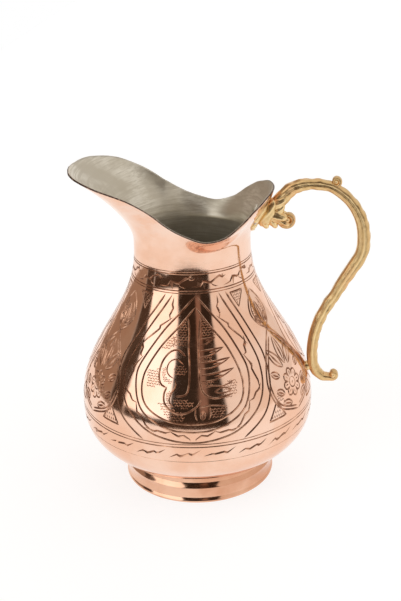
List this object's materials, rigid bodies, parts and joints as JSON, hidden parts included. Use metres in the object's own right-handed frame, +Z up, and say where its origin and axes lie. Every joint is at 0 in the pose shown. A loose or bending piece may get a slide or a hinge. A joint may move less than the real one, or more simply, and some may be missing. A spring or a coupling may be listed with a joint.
{
  "type": "water jug",
  "caption": "Pear-shaped engraved copper water jug with a wide pouring lip, a tinned inside, a ring foot and a scrolled cast brass handle.",
  "frame": {"origin": "centre of the foot ring on the surface that it stands on", "axes": "+Z up, -X towards the spout, +X towards the handle"},
  "size_m": [0.1976, 0.16, 0.2231],
  "materials": {
    "copper": null,
    "tin": "wiped tin, streaked",
    "solder": "soft solder, dull",
    "cast_brass": "sand cast and lightly polished"
  },
  "bodies": {
    "root": {"body_shell": "copper", "tin_lining": "tin", "foot_ring": "copper", "foot_solder": "solder", "handle": "cast_brass", "upper_rivets": "tin", "lower_rivet": "tin"}
  },
  "joints": []
}
